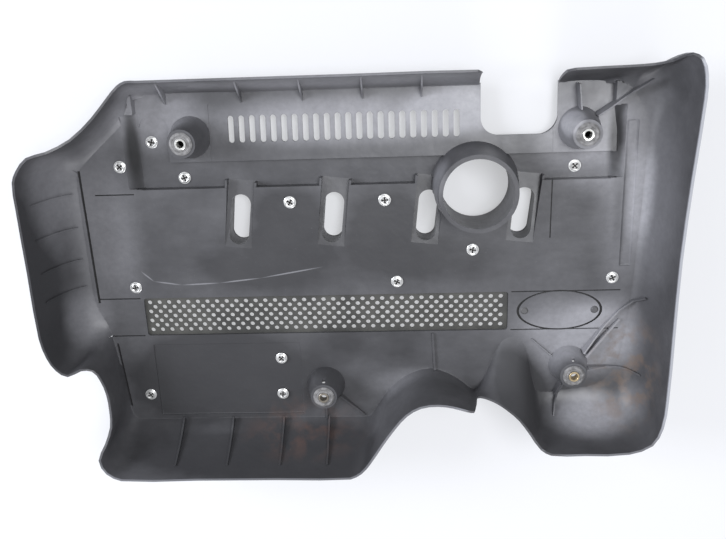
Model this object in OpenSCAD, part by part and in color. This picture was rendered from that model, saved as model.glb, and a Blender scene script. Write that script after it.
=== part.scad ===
// Moulded engine cover, lying on its outer face with the engine side up.
// X runs along the engine, Y across it, Z from the outer face towards the engine.

/* [Levels] */
// Height of the main plate's inner face above the outer face
plate_z = 25; // [20:1:32]
// Wall of the moulded shell
wall = 2.5; // [2:0.5:3]
// Wall of the side skirts
skirt_wall = 2.2; // [1.8:0.1:2.4]
// Height of the side skirts above the main plate
skirt_h = 70; // [55:1:80]
// Height of the top flange above the main plate
flange_h = 25; // [18:1:32]
// Depth of the tray along the top, below the main plate
tray_depth = 10; // [7:1:12]

/* [Outline] */
// Overall length of the rim along X
cover_x = 588; // [580:1:600]
// Overall width of the rim along Y
cover_y = 392; // [386:1:400]
// Width of the cut-out in the top edge
notch_w = 70; // [60:1:76]
// Corner radius of the cut-out in the top edge
notch_r = 16; // [8:1:20]

/* [Trim panels] */
// Thickness of the outer trim panels
trim_t = 2.5; // [2:0.5:3]
// Corner radius of the outer trim panels
trim_r = 10; // [4:1:14]
// Height of the trim panels' turned edge
trim_edge_h = 7; // [4:1:9]
// Radius of the trim panels' screw bosses
trim_boss_r = 4.5; // [4:0.5:6]

/* [Louvres] */
// Number of louvre slots
louvre_count = 22; // [12:1:22]
// Distance from one louvre slot to the next
louvre_pitch = 10; // [8:0.5:10]
// Width of a louvre slot
louvre_w = 5.5; // [4:0.5:6]
// Length of a louvre slot
louvre_l = 25; // [18:1:28]

/* [Oblong slots] */
// Distance from one oblong slot to the next
slot_pitch = 90; // [86:1:92]
// Width of an oblong slot
slot_w = 19; // [14:1:20]
// Length of an oblong slot
slot_l = 48; // [40:1:50]
// Lean of the oblong slots from the Y axis
slot_lean = 6.5; // [0:0.5:8]

/* [Filler collar] */
// Radius of the filler opening
filler_r = 32; // [28:1:34]
// Height of the collar above the main plate
filler_h = 35; // [25:1:40]
// Outer radius of the collar at its foot
filler_foot_r = 42; // [38:1:44]

/* [Mounting bosses] */
// Height of a boss above the main plate
boss_h = 28; // [20:1:32]
// Radius of a boss at its foot
boss_foot_r = 20; // [17:1:21]
// Radius of a boss at its top
boss_top_r = 13; // [12:0.5:15]
// Radius of the grommet's hole in a boss
grommet_r = 8; // [7:0.5:9]
// Width of the grommet's lips beyond its hole
grommet_lip = 2.5; // [1.5:0.5:3]
// Thickness of a grommet's lip
grommet_lip_t = 2; // [1.5:0.5:3]
// Outer radius of the metal sleeve
sleeve_r = 4.6; // [4.2:0.2:5.4]
// Bore radius of the metal sleeve
bore_r = 3.3; // [2.8:0.1:3.6]
// Radius of the metal sleeve's flange
sleeve_flange_r = 6; // [5.5:0.5:7]

/* [Grille] */
// Radius of a grille hole
mesh_hole_r = 2.2; // [1.5:0.1:2.4]
// Distance between grille holes in a row
mesh_pitch = 9.7; // [9:0.1:12]
// Distance between rows of grille holes
mesh_row = 4.9; // [4.7:0.1:6]
// Number of rows of grille holes
mesh_rows = 7; // [5:1:7]
// Thickness of the grille
mesh_t = 1.5; // [1:0.5:2]

/* [Badge plate] */
// Half length of the oval plate
oval_a = 41; // [34:1:43]
// Half width of the oval plate
oval_b = 21; // [16:1:21]
// Radius of the oval plate's two pins
pin_r = 3; // [2:0.5:3.5]

/* [Screws] */
// Radius of a screw head's washer face
head_r = 5.8; // [5:0.2:6.4]
// Radius of a screw's shank
shank_r = 1.8; // [1.5:0.1:2]
// Length of a screw's shank
shank_l = 11; // [9:1:12]

/* [Hidden] */
$fn = 48;
eps = 0.01;

// Half sizes of the rim, which every side of the outline starts from
hx = cover_x / 2;
hy = cover_y / 2;
// Levels of the tray floor and of the sloping louvre panel, from the outer face
tray_z = plate_z - tray_depth;
slope_low_z = plate_z - 4;
slope_high_z = plate_z - 12;
// The tray's left, right and bottom sides, the louvre panel's foot and the flange's foot
tray_x0 = -205;
tray_x1 = 244;
tray_y0 = 80;
slope_y0 = 105;
flange_y = 168;
// The cut-out in the top edge
notch_x0 = 120;
notch_y0 = 122;
// The bottom edge of the left half and the right half of the main plate
plate_y0 = -165;

// Mounting bosses: place and the level that each stands on
bosses = [[-151, 127.5, slope_high_z + 2], [210, 126, slope_high_z + 2],
    [-35, -127, plate_z - wall], [209, -107.5, plate_z - wall]];
boss_z = plate_z + boss_h;

// Trim screws: place and the level of the face under each head
deep = tray_z;
upper_screws = [[-219, 103, plate_z], [-189, 124, deep], [-161, 89, deep], [-60, 65, plate_z],
    [30, 65, plate_z], [208, 91, deep], [113, 14, plate_z], [247, -17, plate_z],
    [40, -17, plate_z], [-219, -18, plate_z]];
lower_screws = [[-79, -97, plate_z], [-80, -137, plate_z], [-218, -136, plate_z]];
screws = concat(upper_screws, lower_screws);

// Oblong slots and louvres
slot_x0 = -110;
slot_y = 48;
slots = [for (i = [0:3]) [slot_x0 + i * slot_pitch, slot_y]];
louvre_x0 = -112;
louvre_y = 134;
filler = [115, 76];

// Grille window and oval plate
mesh_x0 = -213;
mesh_x1 = 148;
mesh_y0 = -70;
mesh_y1 = -30;
mesh_lap = 5;
oval_c = [198, -50];
oval_pin_x = 34;

// Skirt stations, clockwise from the right side of the top cut-out. Each holds a point on the
// foot of the skirt, a point on its rim, and how bowl-like the section between them is.
top = hy - 12;
rim_z = plate_z + skirt_h;
fz = plate_z + flange_h;
right_stations = [
    [[190.6, flange_y, slope_high_z + 0.4], [191.4, 181, plate_z + 18], 0.3],
    [[196, flange_y, slope_high_z + 0.4], [198, top - 1, fz], 0.3],
    [[232, flange_y, slope_high_z + 0.4], [245, top, fz], 0.3],
    [[246, 168, plate_z - 2], [264, top + 1, fz + 1], 0.5],
    [[254, 162, plate_z], [275, 188, fz + 10], 0.8],
    [[260, 154, plate_z], [282, hy - 1, rim_z - 8], 1],
    [[266, 145, plate_z], [288.5, hy - 5, rim_z - 1], 1],
    [[270, 134, plate_z], [hx - 1, 178, rim_z], 1],
    [[271, 118, plate_z], [hx, 160, rim_z], 1],
    [[271, 80, plate_z], [hx - 4, 92, rim_z], 1],
    [[269, 20, plate_z], [hx - 7, 22, rim_z], 1],
    [[266, -50, plate_z], [hx - 7, -50, rim_z], 1],
    [[260, -100, plate_z], [hx - 7, -115, rim_z], 1],
    [[250, -122, plate_z], [hx - 9, -143, rim_z - 1], 1],
    [[238, -132, plate_z], [hx - 17, -162, rim_z - 2], 1],
    [[220, -136, plate_z], [256, -171, rim_z - 2], 1],
    [[198, -138, plate_z], [215, -172, rim_z - 2], 1],
    [[181, -140, plate_z], [183, -172, rim_z - 3], 0.9]];
// The half-cone relief and the first arch
arch_stations = [
    [[176, -132, plate_z], [174, -169, rim_z - 8], 0.7],
    [[170, -104, plate_z], [164, -157, rim_z - 17], 0.5],
    [[163, -84, plate_z], [155, -147, rim_z - 25], 0.5],
    [[152, -78, plate_z], [144, -139, rim_z - 31], 0.5],
    [[142, -84, plate_z], [135, -134, rim_z - 35], 0.5],
    [[131, -108, plate_z], [127, -131, rim_z - 38], 0.5],
    [[122, -130, plate_z], [119, -130, rim_z - 41], 0.5],
    [[117, -135, plate_z], [115, -129, rim_z - 36], 0.5],
    [[112, -134, plate_z], [110, -127, rim_z - 6], 0.5],
    [[106, -128, plate_z], [103, -124, rim_z - 2], 0.5],
    [[90, -117, plate_z], [90, -120, rim_z - 2], 0.5],
    [[72, -111, plate_z], [76, -118, rim_z - 2], 0.5],
    [[54, -115, plate_z], [60, -120, rim_z - 2], 0.5],
    [[38, -125, plate_z], [47, -128, rim_z - 2], 0.5],
    [[26, -138, plate_z], [36, -141, rim_z - 2], 0.5],
    [[16, -154, plate_z], [23, -160, rim_z - 2], 0.4]];
left_stations = [
    [[9, -164, plate_z], [11, -179, rim_z - 2], 0.3],
    [[2, plate_y0, plate_z], [2, -190, rim_z - 2], 0.3],
    [[-8, plate_y0, plate_z], [-9, -hy, rim_z - 2], 0.3],
    [[-80, plate_y0, plate_z], [-80, -hy, rim_z - 2], 0.3],
    [[-160, plate_y0, plate_z], [-160, -hy, rim_z - 2], 0.3],
    [[-226, plate_y0, plate_z], [-235, -hy, rim_z - 2], 0.3],
    [[-237, -163, plate_z], [-249, -188, rim_z - 2], 0.4],
    [[-241, -155, plate_z], [-255, -173, rim_z - 3], 0.5],
    [[-242, -142, plate_z], [-249, -159, rim_z - 9], 0.5],
    [[-243, -128, plate_z], [-245, -145, rim_z - 18], 0.5],
    [[-244, -115, plate_z], [-245, -130, rim_z - 22], 0.5],
    [[-246, -101, plate_z], [-246, -112, rim_z - 23], 0.5],
    [[-248, -86, plate_z], [-249, -96, rim_z - 21], 0.5],
    [[-250, -72, plate_z], [-253, -83, rim_z - 15], 0.6],
    [[-252, -62, plate_z], [-261, -80, rim_z - 10], 0.7],
    [[-256, -52, plate_z], [-273, -84, rim_z - 6], 0.8],
    [[-260, -43, plate_z], [-283, -77, rim_z - 5], 0.9],
    [[-263, -32, plate_z], [4 - hx, -64, rim_z - 5], 0.9],
    [[-264, -18, plate_z], [-hx, -44, rim_z - 5], 0.9],
    [[-264, 20, plate_z], [-hx, 20, rim_z - 5], 0.9],
    [[-264, 70, plate_z], [-hx, 80, rim_z - 5], 0.9],
    [[-263, 94, plate_z], [1 - hx, 104, rim_z - 5], 0.9],
    [[-260, 100, plate_z], [6 - hx, 114, rim_z - 5], 0.9],
    [[-255, 105, plate_z], [-278, 125, rim_z - 7], 0.9],
    [[-247, 112, plate_z], [-262, 129, rim_z - 11], 0.8],
    [[-236, 122, plate_z], [-243, 138, rim_z - 21], 0.8],
    [[-222, 134, plate_z], [-226, 154, rim_z - 33], 0.7],
    [[-212, 144, plate_z], [-213, 170, rim_z - 41], 0.5],
    [[-207, 156, plate_z - 1], [-204, 180, fz], 0.4],
    [[-203, 166, plate_z - 6], [-196, top, fz], 0.3],
    [[-192, flange_y, slope_high_z + 0.4], [-186, top, fz], 0.3],
    [[-100, flange_y, slope_high_z + 0.4], [-100, top, fz], 0.3],
    [[0, flange_y, slope_high_z + 0.4], [0, top, fz], 0.3],
    [[112, flange_y, slope_high_z + 0.4], [114, top, fz], 0.3],
    [[119, flange_y, slope_high_z + 0.4], [119, 181, plate_z + 18], 0.3]];
stations = concat(right_stations, arch_stations, left_stations);

// Smooth curve through a list of vectors: a point at parameter u between items b and c
function pick(list, i) = list[max(0, min(len(list) - 1, i))];
function unit(v) = v / max(norm(v), eps);
function heading(a, b, c) = unit(unit(b - a) + unit(c - b));
function curve(a, b, c, d, u) = let (l = norm(c - b)) b * (2 * u * u * u - 3 * u * u + 1)
    + c * (3 * u * u - 2 * u * u * u) + heading(a, b, c) * min(l, 2 * norm(b - a)) * (u * u * u - 2 * u * u + u)
    + heading(b, c, d) * min(l, 2 * norm(d - c)) * (u * u * u - u * u);
function smooth(list, n) = [for (i = [0:len(list) - 2], k = [0:n - 1])
    curve(pick(list, i - 1), list[i], list[i + 1], pick(list, i + 2), k / n),
    list[len(list) - 1]];
function flat(p) = [p[0], p[1]];
// Outward direction in plan at item i of a path that runs clockwise
function outward(path, i) = let (t = heading(flat(pick(path, i - 1)), flat(path[i]), flat(pick(path, i + 1)))) [-t[1], t[0]];

station_steps = 2;
feet = smooth([for (s = stations) s[0]], station_steps);
rims = smooth([for (s = stations) s[1]], station_steps);
bowls = smooth([for (s = stations) [s[2], 0]], station_steps);
outs = [for (i = [0:len(feet) - 1]) outward(feet, i)];
rim_outs = [for (i = [0:len(rims) - 1]) outward(rims, i)];

// Section of the skirt at item i: inner and outer points from the root in the plate to the rim
section_steps = 6;
function rise(u, bowl) = bowl * (1 - cos(90 * u)) + (1 - bowl) * u;
function reach(u, bowl) = bowl * sin(90 * u) + (1 - bowl) * u;
function out_at(i, u) = unit((1 - u) * outs[i] + u * rim_outs[i]);
function inner_at(i, u) = let (n = rim_outs[i], rim = rims[i] - skirt_wall * [n[0], n[1], 0], b = bowls[i][0])
    [feet[i][0] + (rim[0] - feet[i][0]) * reach(u, b), feet[i][1] + (rim[1] - feet[i][1]) * reach(u, b),
    feet[i][2] + (rim[2] - feet[i][2]) * rise(u, b)];
function slope_at(i, u) = let (n = out_at(i, u), d = inner_at(i, min(1, u + 0.04)) - inner_at(i, max(0, u - 0.04)),
    run = max(0, flat(d) * n)) unit([run, d[2]]);
function outer_at(i, u) = let (n = out_at(i, u), s = slope_at(i, u), p = inner_at(i, u))
    [p[0] + skirt_wall * n[0] * s[1], p[1] + skirt_wall * n[1] * s[1], p[2] - (u < 1 ? skirt_wall * s[0] : 0)];
root = 3;
tuck = 0.5;
function section(i) = let (n = outs[i], r = feet[i] - root * [n[0], n[1], 0]) concat(
    [[r[0], r[1], r[2] - tuck]], [for (k = [0:section_steps]) inner_at(i, k / section_steps)],
    [for (k = [section_steps:-1:0]) outer_at(i, k / section_steps)], [[r[0], r[1], r[2] - skirt_wall + tuck]]);

module skirt() {
    rows = [for (i = [0:len(feet) - 1]) section(i)];
    m = len(rows[0]);
    n = len(rows);
    points = [for (row = rows) each row];
    sides = [for (i = [0:n - 2], j = [0:m - 1]) let (k = (j + 1) % m, a = i * m + j, b = i * m + k,
        c = (i + 1) * m + k, d = (i + 1) * m + j) each [[a, b, c], [a, c, d]]];
    half = m / 2;
    cap = [for (j = [0:half - 2]) each [[j, j + 1, m - 1 - j], [j + 1, m - 2 - j, m - 1 - j]]];
    start_cap = [for (t = cap) [t[2], t[1], t[0]]];
    end_cap = [for (t = cap) [for (v = t) v + (n - 1) * m]];
    polyhedron(points, concat(sides, start_cap, end_cap));
}

// Plan of the main plate, tucked into the skirt's root, with its corners between the stations
plate_tuck = 1.3;
plate_share = 0.37;
module plate_plan() polygon([for (i = [0:len(feet) - 2]) (1 - plate_share) * flat(feet[i])
    + plate_share * flat(feet[i + 1]) - plate_tuck * outs[i]]);

module rounded_box(x0, y0, x1, y1, r) {
    translate([x0 + r, y0]) square([x1 - x0 - 2 * r, y1 - y0]);
    translate([x0, y0 + r]) square([x1 - x0, y1 - y0 - 2 * r]);
    for (x = [x0 + r, x1 - r], y = [y0 + r, y1 - r]) translate([x, y]) circle(r);
}

module obround(w, l) {
    square([w, l - w], center = true);
    for (s = [-1, 1]) translate([0, s * (l - w) / 2]) circle(w / 2);
}

module oval(a, b, h) linear_extrude(h) polygon([for (k = [0:47]) [a * cos(k * 7.5), b * sin(k * 7.5)]]);

// A solid whose section in Y and Z is extruded along X
module along_x(x0, x1, points) translate([x0, 0, 0]) rotate([90, 0, 90]) linear_extrude(x1 - x0)
    polygon(points);

// The cut-out in the top edge, grown by g
module notch_plan(g) translate([notch_x0, notch_y0]) rounded_box(-g, -g, notch_w + g, 120, notch_r + g);

// The louvre panel slopes up from the flange to its foot
module slope_solid(x0, x1) along_x(x0, x1, [[slope_y0, tray_z - wall], [slope_y0, slope_low_z],
    [flange_y + 1, slope_high_z], [flange_y + 1, slope_high_z - wall], [slope_y0 + 4, slope_low_z - wall - 0.5],
    [slope_y0 + 2.5, tray_z - wall]]);

// Flat pad round the second screw, let into the sloping panel
pad_x0 = tray_x0 + 6;
pad_x1 = -172;
pad_y1 = 147;
module pad_plan(g) translate([0, tray_y0]) rounded_box(pad_x0 - g, 0, pad_x1 + g, pad_y1 + g - tray_y0, 10 + g);

module tray() {
    difference() {
        union() {
            translate([tray_x0, tray_y0 - 3, tray_z - wall])
                cube([tray_x1 - tray_x0, slope_y0 + 5.5 - tray_y0, tray_depth + wall]);
            // The two ends of the tray
            for (x = [tray_x0, tray_x1 - 4]) translate([x, tray_y0, slope_high_z - wall])
                cube([4, flange_y - tray_y0, plate_z - slope_high_z + wall]);
            slope_solid(tray_x0 + 1, tray_x1 - 1);
            intersection() {
                translate([0, 0, tray_z - wall]) linear_extrude(20) pad_plan(2);
                along_x(tray_x0, tray_x1, [[slope_y0, tray_z - wall], [slope_y0, slope_low_z],
                    [flange_y, slope_high_z], [flange_y, slope_high_z - wall]]);
            }
        }
        translate([tray_x0 + 4, tray_y0, tray_z]) cube([tray_x1 - tray_x0 - 8, slope_y0 - tray_y0, 40]);
        translate([tray_x0 + 4, slope_y0 - eps, slope_low_z]) cube([tray_x1 - tray_x0 - 8, 80, 40]);
        translate([0, 0, tray_z]) linear_extrude(20) pad_plan(0);
        // Above the sloping panel nothing stands
        along_x(tray_x0 + 4, tray_x1 - 4, [[slope_y0, slope_low_z], [flange_y + 5, slope_high_z - 0.5],
            [flange_y + 5, plate_z + 5], [slope_y0, plate_z + 5]]);
    }
}

// Sloping channel that holds an oblong slot, between two pads
channel_w = 26;
channel_y0 = -27;
channel_y1 = 38;
module channel(g, deep_g) translate([0, channel_y0, 0]) along_x(-channel_w / 2 - g, channel_w / 2 + g,
    [[-g, plate_z - deep_g + eps], [channel_y1 - channel_y0, tray_z - deep_g], [channel_y1 - channel_y0, plate_z + 1 - g],
    [-g, plate_z + 1 - g]]);
module at_slots() for (s = slots) translate([s[0], s[1], 0]) rotate([0, 0, -slot_lean]) children();

slot_wall = 2;
slot_foot_z = trim_t + 0.5;

module boss_solid() for (b = bosses) translate([b[0], b[1], b[2]])
    cylinder(r1 = boss_foot_r, r2 = boss_top_r, h = boss_z - b[2]);
module boss_hollow() for (b = bosses) translate([b[0], b[1], 0]) {
    translate([0, 0, b[2] - 15]) cylinder(r = boss_foot_r - wall, h = 15 + eps);
    translate([0, 0, b[2]]) cylinder(r1 = boss_foot_r - wall, r2 = boss_top_r - wall, h = boss_z - wall - b[2]);
    translate([0, 0, boss_z - wall - 1]) cylinder(r = grommet_r, h = wall + 2);
}

module collar_solid() translate([filler[0], filler[1], tray_z - wall])
    cylinder(r1 = filler_foot_r, r2 = filler_r + 4, h = plate_z + filler_h - tray_z + wall);
module collar_bore() translate([filler[0], filler[1], -5]) cylinder(r = filler_r, h = 100, $fn = 96);

// A rib of height h from a to b, standing on the main plate
module rib(a, b, h0, h1, t = 2) {
    d = b - a;
    translate([a[0], a[1], plate_z]) rotate([0, 0, atan2(d[1], d[0])]) translate([0, t / 2, 0])
        rotate([90, 0, 0]) linear_extrude(t) polygon([[0, -1], [norm(d), -1], [norm(d), h1], [0, h0]]);
}

module cover_shell() color([0.24, 0.25, 0.26]) {
    difference() {
        union() {
            difference() {
                translate([0, 0, plate_z - wall]) linear_extrude(wall) plate_plan();
                translate([tray_x0 + 2, tray_y0 - 1, 0]) cube([tray_x1 - tray_x0 - 4, 150, 60]);
            }
            tray();
            skirt();
            at_slots() channel(2, wall);
            at_slots() translate([0, 0, slot_foot_z]) linear_extrude(plate_z - slot_foot_z - 2)
                obround(slot_w + 2 * slot_wall, slot_l + 2 * slot_wall);
            boss_solid();
            collar_solid();
        }
        at_slots() channel(0, 0);
        at_slots() translate([0, 0, -1]) linear_extrude(plate_z + 10) obround(slot_w, slot_l);
        for (k = [0:louvre_count - 1]) translate([louvre_x0 + k * louvre_pitch, louvre_y, -1])
            linear_extrude(plate_z + 5) obround(louvre_w, louvre_l);
        boss_hollow();
        collar_bore();
        translate([0, 0, -1]) linear_extrude(100) notch_plan(0);
        translate([0, 0, -1]) linear_extrude(plate_z + 5) rounded_box(mesh_x0, mesh_y0, mesh_x1, mesh_y1, 3);
        for (s = screws) translate([s[0], s[1], -1]) cylinder(r = shank_r + 0.2, h = 60);
        for (x = [-oval_pin_x, oval_pin_x]) translate([oval_c[0] + x, oval_c[1], -1]) cylinder(r = pin_r, h = 60);
        // Groove round the oval plate
        translate([oval_c[0], oval_c[1], plate_z - 0.8]) difference() {
            oval(oval_a, oval_b, 2);
            translate([0, 0, -1]) oval(oval_a - 1.6, oval_b - 1.6, 4);
        }
    }
    rib([74, -72], [76, -113], 2, 2);
    rib([224, -96], [256, -60], 12, 3);
    rib([228, -110], [256, -111], 8, 3);
    rib([202, -125], [196, -138], 10, 8);
    rib([-35, -146], [-36, -166], 8, 3);
    rib([-19, -140], [4, -163], 6, 2);
}

module screw_boss(p, top_z) translate([p[0], p[1], trim_t - eps])
    cylinder(r = trim_boss_r, h = top_z - wall - trim_t + eps);

// Plans of the outer trim panels, drawn in by g. The upper one follows the shell's slanting corner.
module upper_plan(g) difference() {
    rounded_box(-250 + g, -24 + g, 256 - g, 158 - g, trim_r - g);
    translate([-250, 98]) rotate([0, 0, 42]) translate([-50, -g]) square([180, 100]);
    translate([-203, 141]) rotate([0, 0, 67]) translate([-50, -g]) square([100, 60]);
    notch_plan(3 + g);
}
module lower_plan(g) rounded_box(-232 + g, -156 + g, -62 - g, -76 - g, trim_r - g);

module upper_trim_panel() color([0.12, 0.12, 0.13]) difference() {
    union() {
        linear_extrude(trim_t) upper_plan(0);
        linear_extrude(trim_edge_h) difference() {
            upper_plan(0);
            upper_plan(trim_t);
        }
        for (s = upper_screws) screw_boss(s, s[2]);
    }
    for (s = upper_screws) translate([s[0], s[1], trim_t]) cylinder(r = shank_r + 0.1, h = 60);
    translate([filler[0], filler[1], -1]) cylinder(r = filler_r + 4, h = 10);
    at_slots() translate([0, 0, -1]) linear_extrude(20) obround(slot_w, slot_l);
    translate([0, 0, -1]) linear_extrude(20) rounded_box(louvre_x0 - 8, louvre_y - louvre_l / 2 - 6,
        louvre_x0 + (louvre_count - 1) * louvre_pitch + 8, louvre_y + louvre_l / 2 + 6, 4);
}

module lower_trim_panel() color([0.12, 0.12, 0.13]) difference() {
    union() {
        linear_extrude(trim_t) lower_plan(0);
        linear_extrude(trim_edge_h) difference() {
            lower_plan(0);
            lower_plan(trim_t);
        }
        for (s = lower_screws) screw_boss(s, s[2]);
    }
    for (s = lower_screws) translate([s[0], s[1], trim_t]) cylinder(r = shank_r + 0.1, h = 60);
}

module mesh_grille() color([0.2, 0.2, 0.2]) translate([0, 0, plate_z - wall - mesh_t]) difference() {
    linear_extrude(mesh_t) rounded_box(mesh_x0 - mesh_lap, mesh_y0 - mesh_lap, mesh_x1 + mesh_lap,
        mesh_y1 + mesh_lap, 4);
    first_y = (mesh_y0 + mesh_y1) / 2 - (mesh_rows - 1) / 2 * mesh_row;
    for (j = [0:mesh_rows - 1], x = [mesh_x0 + 5 + (j % 2) * mesh_pitch / 2:mesh_pitch:mesh_x1 - 4])
        translate([x, first_y + j * mesh_row, -1]) cylinder(r = mesh_hole_r, h = mesh_t + 2, $fn = 13);
}

badge_t = 3;
module oval_plate() color([0.35, 0.35, 0.36]) translate([oval_c[0], oval_c[1], 0]) {
    translate([0, 0, plate_z - wall - badge_t]) oval(oval_a - 2, oval_b - 2, badge_t);
    for (x = [-oval_pin_x, oval_pin_x]) translate([x, 0, plate_z - wall - 1]) {
        cylinder(r = pin_r, h = wall + 1.6);
        translate([0, 0, wall + 1]) cylinder(r1 = pin_r + 0.8, r2 = pin_r - 0.6, h = 1.2);
    }
}

module grommet(b) color([0.16, 0.15, 0.15]) translate([b[0], b[1], boss_z]) difference() {
    union() {
        cylinder(r1 = grommet_r + grommet_lip, r2 = grommet_r + grommet_lip - 1, h = grommet_lip_t);
        translate([0, 0, -wall]) cylinder(r = grommet_r, h = wall + eps);
        translate([0, 0, -wall - grommet_lip_t]) cylinder(r = grommet_r + 1, h = grommet_lip_t);
    }
    translate([0, 0, -20]) cylinder(r = sleeve_r, h = 40);
}

module sleeve(b) color([0.75, 0.75, 0.72]) translate([b[0], b[1], boss_z]) difference() {
    union() {
        translate([0, 0, -wall - grommet_lip_t - 1]) cylinder(r = sleeve_r, h = wall + 2 * grommet_lip_t + 1);
        translate([0, 0, grommet_lip_t]) cylinder(r = sleeve_flange_r, h = 1.2);
    }
    translate([0, 0, -20]) cylinder(r = bore_r, h = 40);
}

head_h = 2.4;
module screw(s) color([0.85, 0.85, 0.84]) translate(s) difference() {
    union() {
        cylinder(r = head_r, h = 0.8);
        translate([0, 0, 0.8]) cylinder(r1 = head_r - 1, r2 = head_r - 2.2, h = head_h - 0.8);
        translate([0, 0, -shank_l]) cylinder(r = shank_r, h = shank_l + eps);
    }
    for (a = [0, 90]) rotate([0, 0, a + 20]) translate([-2.6, -0.5, 0.9]) cube([5.2, 1, 3]);
}

cover_shell();
upper_trim_panel();
lower_trim_panel();
mesh_grille();
oval_plate();
grommet(bosses[0]);  // grommet_1
grommet(bosses[1]);  // grommet_2
grommet(bosses[2]);  // grommet_3
grommet(bosses[3]);  // grommet_4
sleeve(bosses[0]);  // sleeve_1
sleeve(bosses[1]);  // sleeve_2
sleeve(bosses[2]);  // sleeve_3
sleeve(bosses[3]);  // sleeve_4
screw(screws[0]);  // screw_1
screw(screws[1]);  // screw_2
screw(screws[2]);  // screw_3
screw(screws[3]);  // screw_4
screw(screws[4]);  // screw_5
screw(screws[5]);  // screw_6
screw(screws[6]);  // screw_7
screw(screws[7]);  // screw_8
screw(screws[8]);  // screw_9
screw(screws[9]);  // screw_10
screw(screws[10]);  // screw_11
screw(screws[11]);  // screw_12
screw(screws[12]);  // screw_13
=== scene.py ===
import math
import bpy
from mathutils import Matrix, Vector


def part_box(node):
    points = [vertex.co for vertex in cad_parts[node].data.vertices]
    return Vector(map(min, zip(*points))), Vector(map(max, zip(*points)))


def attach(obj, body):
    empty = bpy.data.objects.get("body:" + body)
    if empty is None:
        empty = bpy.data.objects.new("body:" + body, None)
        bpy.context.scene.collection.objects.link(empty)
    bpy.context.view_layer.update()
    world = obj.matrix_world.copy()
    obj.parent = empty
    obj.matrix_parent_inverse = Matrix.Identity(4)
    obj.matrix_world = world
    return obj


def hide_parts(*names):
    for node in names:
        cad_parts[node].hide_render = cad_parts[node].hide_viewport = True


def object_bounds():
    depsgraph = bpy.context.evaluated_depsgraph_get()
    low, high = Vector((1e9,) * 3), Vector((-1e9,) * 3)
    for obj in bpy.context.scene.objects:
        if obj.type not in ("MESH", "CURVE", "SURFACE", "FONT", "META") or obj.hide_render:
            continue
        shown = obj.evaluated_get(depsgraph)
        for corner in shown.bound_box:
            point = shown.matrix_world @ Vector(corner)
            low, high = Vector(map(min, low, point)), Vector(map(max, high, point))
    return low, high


bl_info = {
    "name": "Engine Cover",
    "version": (1, 0, 0),
    "blender": (4, 5, 0),
    "location": "3D View > Sidebar > Engine Cover",
    "description": "Finishes a moulded engine cover and its fixings, and sets up a plain studio",
    "category": "Object",
}

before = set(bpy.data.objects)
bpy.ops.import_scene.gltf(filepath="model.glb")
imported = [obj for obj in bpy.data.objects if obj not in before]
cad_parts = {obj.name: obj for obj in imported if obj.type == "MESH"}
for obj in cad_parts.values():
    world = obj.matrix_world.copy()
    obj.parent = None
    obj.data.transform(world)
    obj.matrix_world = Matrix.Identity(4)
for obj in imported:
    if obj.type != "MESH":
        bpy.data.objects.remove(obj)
CAD_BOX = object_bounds()
MM = 0.001
SCREWS = 13
BOSSES = 4
# Levels in millimetres: the main plate's inner face, the tops of the bosses, and just above the tray's floor
PLATE_Z = 25.0
BOSS_TOP = 53.0
TRAY_Z = 15.1
# The sloping panel falls 8 mm in 63 mm, which is 7.2 degrees
SLOPE_WAY = Vector((0, 8, 63)).normalized()
SLOPE_LEAN = -7.2
# The slots' channels fall 10 mm in 65 mm and are turned by 6.5 degrees
CHANNEL_TURN = math.radians(6.5)
CHANNEL_WAY = Vector((10 * math.sin(CHANNEL_TURN), 10 * math.cos(CHANNEL_TURN), 65)).normalized()
# Ways that the shell's flat parts face
FLAT_WAYS = (Vector((0, 0, 1)), SLOPE_WAY, CHANNEL_WAY)
# Cosines of 0.4 and 1.4 degrees: a face this near a way is flat, and an edge bent past this ends it
FLAT_COSINE = 0.99997
CREASE_COSINE = 0.9997
MERGE_MM = 0.002
# How far the top of each fixing stands above its seat, in millimetres
GROMMET_RISE, SLEEVE_RISE, SCREW_RISE = 2.0, 1.2, 2.4
# Colours that show where a surface is worn: pale rubbed grain, and tarnish on plating
RUBBED_GRAIN = "77766F"
TARNISH = "7A766C"
# Indices of refraction of the moulded plastics and the rubber
PLASTIC_IOR = 1.49
RUBBER_IOR = 1.52
# Side of each lamp in metres, and the shares of the floor's own light that the camera and a reflection see
LAMP_SIZE = 0.8
FLOOR_GLOW = 0.5
GLOSS_SHARE = 0.6
# The photograph's camera: its focal length and width in pixels, its place in millimetres and how it is turned
PHOTO_FOCAL, PHOTO_WIDTH = 793.0, 726.0
PHOTO_PLACE_MM = Vector((44.8, 242.1, 755.5))
PHOTO_FORWARD = Vector((-0.0489, -0.3189, -0.9465))
PHOTO_RIGHT = Vector((0.9986, -0.0349, -0.0399))


def hex_colour(code):
    """A six-figure sRGB code as a linear colour."""
    parts = [int(code[i:i + 2], 16) / 255 for i in (0, 2, 4)]
    return tuple(c / 12.92 if c <= 0.04045 else ((c + 0.055) / 1.055) ** 2.4 for c in parts) + (1.0,)


def colour_setting(name, description, code):
    """A colour that a user may change."""
    return bpy.props.FloatVectorProperty(name=name, description=description, default=hex_colour(code),
                                         size=4, min=0.0, max=1.0, subtype="COLOR")


def new_material(name):
    """An empty node material; returns the material, its tree and its shader."""
    material = bpy.data.materials.new(name)
    material.use_nodes = True
    return material, material.node_tree, material.node_tree.nodes["Principled BSDF"]


def add(tree, kind, settings=None, sockets=None):
    """Adds one node: settings on the node, and a value or a link for each socket; returns its outputs."""
    node = tree.nodes.new(kind)
    for key, value in (settings or {}).items():
        setattr(node, key, value)
    for key, value in (sockets or {}).items():
        if isinstance(value, bpy.types.NodeSocket):
            tree.links.new(value, node.inputs[key])
        else:
            node.inputs[key].default_value = value
    return node.outputs


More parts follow.
